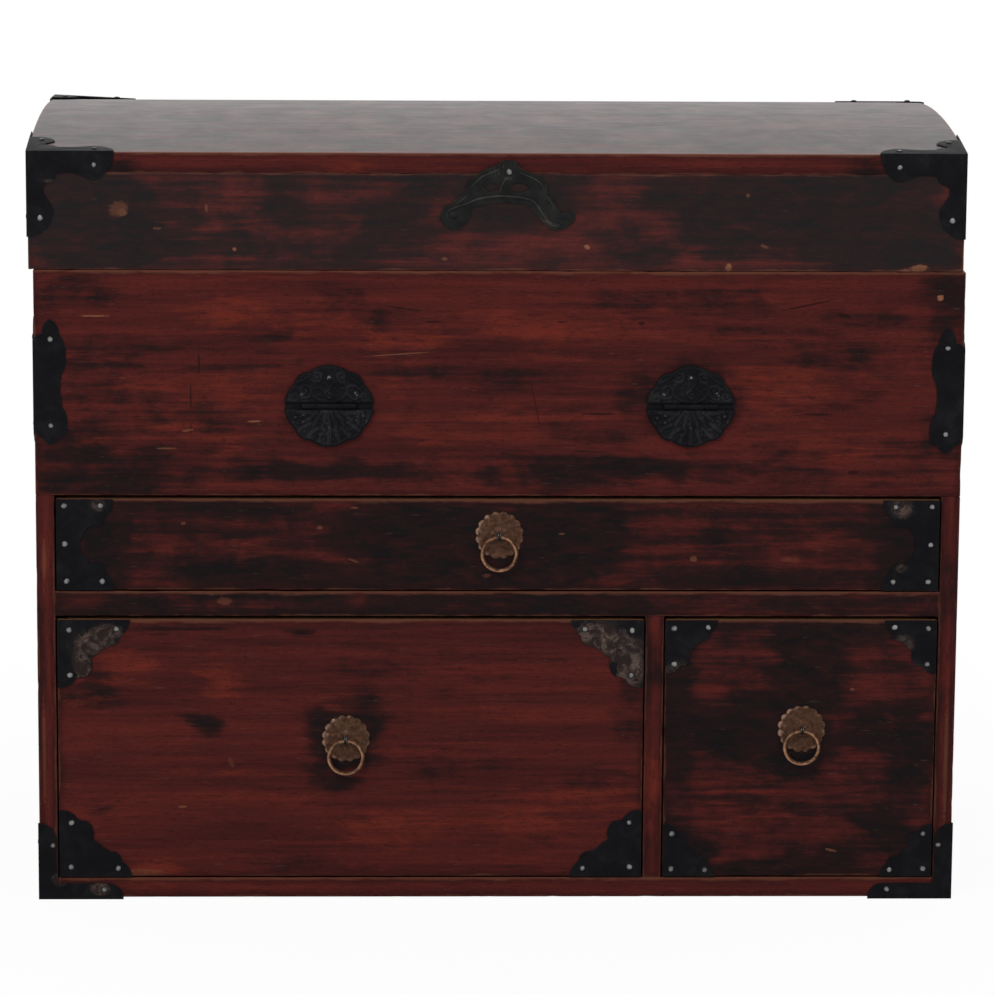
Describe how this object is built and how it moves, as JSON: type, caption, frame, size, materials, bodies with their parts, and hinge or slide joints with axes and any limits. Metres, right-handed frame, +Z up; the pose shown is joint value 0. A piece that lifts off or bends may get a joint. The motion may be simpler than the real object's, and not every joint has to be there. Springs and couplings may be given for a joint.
{
  "type": "clothing chest",
  "caption": "Low wooden clothing chest with an arched hinged lid over a compartment, a wide drawer, smaller drawers below, ring pulls and black iron corner plates.",
  "frame": {"origin": "on the floor under the middle of the whole chest's box", "axes": "+Z up, +X to the viewer's right along the front, +Y from the front to the back"},
  "size_m": [0.918, 0.4744, 0.7624],
  "materials": {
    "lacquered_wood": "worn red-brown lacquer over straight grain, darker smudges, pale rubbed edges",
    "plain_wood": "unlacquered softwood, aged brown",
    "black_iron": "thin sheet iron, blackened, satin",
    "nail_iron": "small domed nail heads, rubbed bright",
    "pull_bronze": "dark brown patinated bronze with bright rubbed spots"
  },
  "bodies": {
    "case": {"case_side_left": "lacquered_wood", "case_side_right": "lacquered_wood", "case_front_board": "lacquered_wood", "case_back_boards": "plain_wood", "case_bottom_board": "plain_wood", "case_shelf_board": "plain_wood", "case_floor_board": "plain_wood", "case_rail_bottom": "lacquered_wood", "case_rail_middle": "lacquered_wood", "case_partition": "lacquered_wood", "middle_plates": "black_iron", "case_nails": "nail_iron", "base_plates_front": "black_iron", "base_plates_rear": "black_iron", "hinge_pins": "black_iron", "hinge_lower_leaves": "black_iron", "round_backplates": "black_iron", "round_pins": "black_iron", "round_upper_halves": "black_iron"},
    "lid": {"lid_top_board": "lacquered_wood", "lid_front_board": "lacquered_wood", "lid_back_board": "lacquered_wood", "lid_end_left": "lacquered_wood", "lid_end_right": "lacquered_wood", "lid_plates_front": "black_iron", "lid_plates_rear": "black_iron", "lid_nails": "nail_iron", "lid_ornament": "black_iron", "hinge_upper_leaves": "black_iron"},
    "drawer_wide": {"drawer_wide_front": "lacquered_wood", "drawer_wide_sides": "plain_wood", "drawer_wide_back": "plain_wood", "drawer_wide_bottom": "plain_wood", "drawer_wide_rosette": "pull_bronze", "drawer_wide_eye": "pull_bronze", "drawer_wide_plates": "black_iron", "drawer_wide_nails": "nail_iron"},
    "drawer_left": {"drawer_left_front": "lacquered_wood", "drawer_left_sides": "plain_wood", "drawer_left_back": "plain_wood", "drawer_left_bottom": "plain_wood", "drawer_left_rosette": "pull_bronze", "drawer_left_eye": "pull_bronze", "drawer_left_plates": "black_iron", "drawer_left_nails": "nail_iron"},
    "drawer_right": {"drawer_right_front": "lacquered_wood", "drawer_right_sides": "plain_wood", "drawer_right_back": "plain_wood", "drawer_right_bottom": "plain_wood", "drawer_right_rosette": "pull_bronze", "drawer_right_eye": "pull_bronze", "drawer_right_plates": "black_iron", "drawer_right_nails": "nail_iron"},
    "ring_wide": {"ring_wide": "pull_bronze"},
    "ring_left": {"ring_left": "pull_bronze"},
    "ring_right": {"ring_right": "pull_bronze"},
    "flap_left": {"flap_left": "black_iron"},
    "flap_right": {"flap_right": "black_iron"}
  },
  "joints": [
    {"name": "lid_hinge", "type": "hinge", "parent": "case", "child": "lid", "pos_m": [0.00225, 0.23325, 0.6332], "axis": [-1, 0, 0], "range_deg": [0, 100]},
    {"name": "drawer_wide_slide", "type": "slide", "parent": "case", "child": "drawer_wide", "axis": [0, -1, 0], "range_m": [0, 0.33]},
    {"name": "ring_wide_swing", "type": "hinge", "parent": "drawer_wide", "child": "ring_wide", "pos_m": [0.00275, -0.2329, 0.37065], "axis": [-1, 0, 0], "range_deg": [0, 150]},
    {"name": "drawer_left_slide", "type": "slide", "parent": "case", "child": "drawer_left", "axis": [0, -1, 0], "range_m": [0, 0.33]},
    {"name": "ring_left_swing", "type": "hinge", "parent": "drawer_left", "child": "ring_left", "pos_m": [-0.148, -0.2329, 0.16465], "axis": [-1, 0, 0], "range_deg": [0, 150]},
    {"name": "drawer_right_slide", "type": "slide", "parent": "case", "child": "drawer_right", "axis": [0, -1, 0], "range_m": [0, 0.33]},
    {"name": "ring_right_swing", "type": "hinge", "parent": "drawer_right", "child": "ring_right", "pos_m": [0.3045, -0.2329, 0.17465], "axis": [-1, 0, 0], "range_deg": [0, 150]},
    {"name": "flap_left_swing", "type": "hinge", "parent": "case", "child": "flap_left", "pos_m": [-0.16475, -0.22965, 0.5], "axis": [-1, 0, 0], "range_deg": [0, 90]},
    {"name": "flap_right_swing", "type": "hinge", "parent": "case", "child": "flap_right", "pos_m": [0.18925, -0.22965, 0.5], "axis": [-1, 0, 0], "range_deg": [0, 90]}
  ]
}
